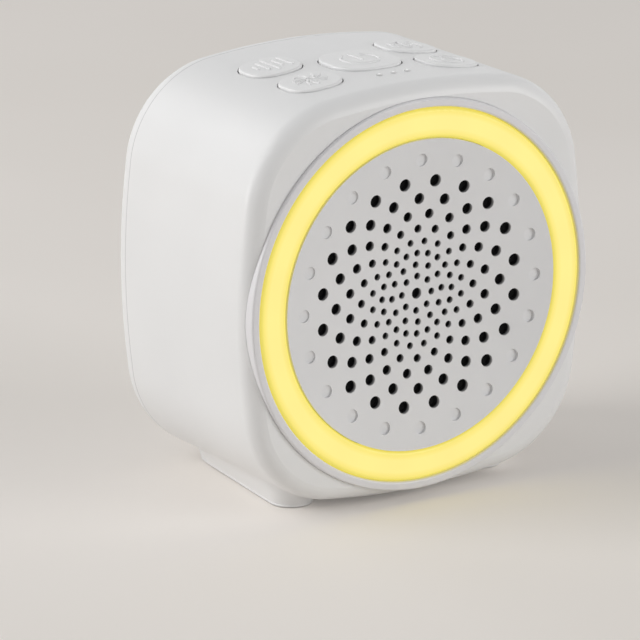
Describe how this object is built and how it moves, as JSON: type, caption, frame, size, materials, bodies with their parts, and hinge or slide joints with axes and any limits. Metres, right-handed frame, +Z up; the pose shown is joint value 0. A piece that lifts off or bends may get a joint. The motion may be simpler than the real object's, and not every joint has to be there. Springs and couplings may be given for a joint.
{
  "type": "white noise sound machine",
  "caption": "compact white bedside sound machine, rounded-square body on two skids, dished round speaker grille inside a lit yellow ring, keys on top",
  "frame": {"origin": "centre of the bounding box in plan, on the surface the feet stand on", "axes": "+X to the right seen from the front, +Y to the back, +Z up; the grille faces -Y"},
  "size_m": [0.086, 0.0554, 0.0909],
  "materials": {
    "white_plastic": "white ABS with a fine satin texture",
    "key_plastic": "white ABS key caps, satin",
    "grille_plastic": "pale grey matt ABS",
    "glowing_diffuser": "milky diffuser lit warm yellow from behind",
    "dust_cloth": "black woven dust cloth",
    "circuit_board": "glass fibre board with green solder mask",
    "lamp_resin": "yellow-tinted silicone resin",
    "rubber_foam": "black foam rubber",
    "plated_steel": "nickel-plated steel",
    "cone_paper": "black coated paper pulp",
    "coil_copper": "enamelled copper wire",
    "magnet_ferrite": "dark grey sintered ferrite",
    "black_plastic": "black moulded plastic",
    "clear_plastic": "milky clear polycarbonate light pipes",
    "connector_plastic": "natural nylon",
    "cell_foil": "silver pouch foil",
    "pad_rubber": "dark grey silicone rubber"
  },
  "bodies": {
    "casing": {"front_housing": "white_plastic", "rear_cover": "white_plastic", "bezel_ring": "white_plastic", "light_ring": "glowing_diffuser", "speaker_grille": "grille_plastic", "grille_cloth": "dust_cloth", "led_board": "circuit_board", "ring_leds": "lamp_resin", "speaker_gasket": "rubber_foam", "speaker_frame": "plated_steel", "speaker_surround": "rubber_foam", "speaker_spider": "dust_cloth", "speaker_magnet": "magnet_ferrite", "speaker_yoke": "plated_steel", "speaker_screws": "plated_steel", "button_board": "circuit_board", "tact_switches": "black_plastic", "indicator_leds": "lamp_resin", "indicator_light_pipes": "clear_plastic", "button_board_screws": "plated_steel", "main_board": "circuit_board", "control_chip": "black_plastic", "amplifier_chip": "black_plastic", "board_connectors": "connector_plastic", "board_screws": "plated_steel", "usb_socket": "plated_steel", "battery": "cell_foil", "battery_tape": "rubber_foam", "foot_pads": "pad_rubber", "rear_cover_screws": "plated_steel"},
    "power_button": {"power_key": "key_plastic", "power_plunger": "black_plastic"},
    "rear_left_button": {"rear_left_key": "key_plastic", "rear_left_plunger": "black_plastic"},
    "front_left_button": {"front_left_key": "key_plastic", "front_left_plunger": "black_plastic"},
    "rear_right_button": {"rear_right_key": "key_plastic", "rear_right_plunger": "black_plastic"},
    "front_right_button": {"front_right_key": "key_plastic", "front_right_plunger": "black_plastic"},
    "speaker_diaphragm": {"speaker_cone": "cone_paper", "dust_cap": "cone_paper", "voice_coil": "coil_copper"}
  },
  "joints": [
    {"name": "power_press", "type": "slide", "parent": "casing", "child": "power_button", "axis": [0, 0, -1], "range_m": [0, 0.0005], "stiffness_N_per_m": 2500, "springref_m": -0.0002},
    {"name": "rear_left_press", "type": "slide", "parent": "casing", "child": "rear_left_button", "axis": [0, 0, -1], "range_m": [0, 0.0005], "stiffness_N_per_m": 2500, "springref_m": -0.0002},
    {"name": "front_left_press", "type": "slide", "parent": "casing", "child": "front_left_button", "axis": [0, 0, -1], "range_m": [0, 0.0005], "stiffness_N_per_m": 2500, "springref_m": -0.0002},
    {"name": "rear_right_press", "type": "slide", "parent": "casing", "child": "rear_right_button", "axis": [0, 0, -1], "range_m": [0, 0.0005], "stiffness_N_per_m": 2500, "springref_m": -0.0002},
    {"name": "front_right_press", "type": "slide", "parent": "casing", "child": "front_right_button", "axis": [0, 0, -1], "range_m": [0, 0.0005], "stiffness_N_per_m": 2500, "springref_m": -0.0002},
    {"name": "cone_stroke", "type": "slide", "parent": "casing", "child": "speaker_diaphragm", "axis": [0, -1, 0], "range_m": [-0.001, 0.001], "stiffness_N_per_m": 1500}
  ]
}
